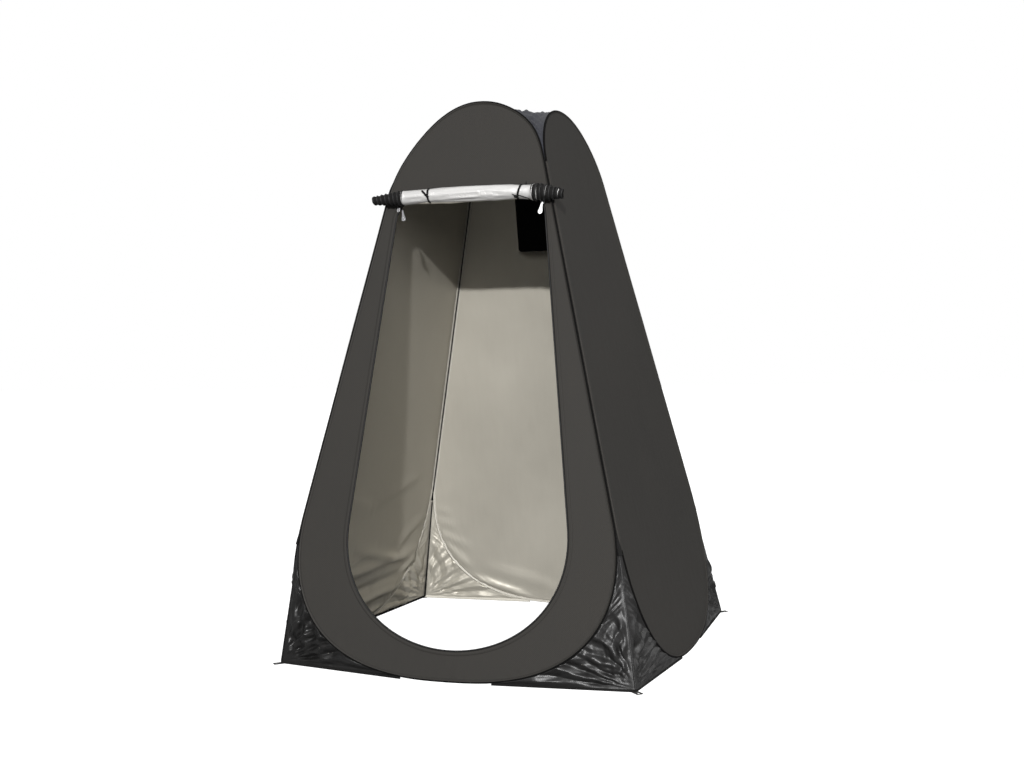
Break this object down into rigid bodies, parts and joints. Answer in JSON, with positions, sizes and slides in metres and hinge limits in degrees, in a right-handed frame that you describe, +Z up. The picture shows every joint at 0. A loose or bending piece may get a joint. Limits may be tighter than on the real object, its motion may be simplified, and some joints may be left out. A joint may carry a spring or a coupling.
{
  "type": "pop-up shower tent",
  "caption": "Pop-up shower tent with leaning walls inside spring-steel hoops, corner gussets, an arched roof and a rolled-up door flap over an open doorway.",
  "frame": {"origin": "on the ground, under the middle of the tent", "axes": "+Z up, -Y out of the doorway, +X to the right of someone facing the doorway"},
  "size_m": [1.3346, 1.332, 1.8919],
  "materials": {
    "hoop_sleeve": "matt woven black binding over spring steel",
    "wall_fabric": "matt warm dark grey polyester, silver coated inside",
    "gusset_nylon": "glossy wrinkled black nylon",
    "seam_binding": "matt black binding tape",
    "webbing": "matt black webbing",
    "zip_tape": "matt black zip tape",
    "silver_coating": "silver coated polyester, soft sheen",
    "elastic_cord": "matt black elastic cord",
    "zip_metal": "dark nickel",
    "pull_plastic": "pale glossy plastic",
    "window_net": "matt black net"
  },
  "bodies": {
    "root": {"hoop_front": "hoop_sleeve", "hoop_right": "hoop_sleeve", "hoop_back": "hoop_sleeve", "hoop_left": "hoop_sleeve", "front_panel": "wall_fabric", "right_panel": "wall_fabric", "back_panel": "wall_fabric", "left_panel": "wall_fabric", "front_right_gusset_front": "gusset_nylon", "front_right_gusset_right": "gusset_nylon", "back_right_gusset_right": "gusset_nylon", "back_right_gusset_back": "gusset_nylon", "back_left_gusset_back": "gusset_nylon", "back_left_gusset_left": "gusset_nylon", "front_left_gusset_left": "gusset_nylon", "front_left_gusset_front": "gusset_nylon", "front_right_corner_seam": "seam_binding", "back_right_corner_seam": "seam_binding", "back_left_corner_seam": "seam_binding", "front_left_corner_seam": "seam_binding", "front_right_peg_loop": "webbing", "back_right_peg_loop": "webbing", "back_left_peg_loop": "webbing", "front_left_peg_loop": "webbing", "roof_cloth": "gusset_nylon", "door_zip": "zip_tape", "door_flap_top": "silver_coating", "door_roll": "silver_coating", "door_tie_left": "elastic_cord", "door_tie_right": "elastic_cord", "zip_slider_left": "zip_metal", "zip_pull_left": "pull_plastic", "zip_slider_right": "zip_metal", "zip_pull_right": "pull_plastic", "rear_window_mesh": "window_net", "rear_window_cover": "wall_fabric"}
  },
  "joints": []
}
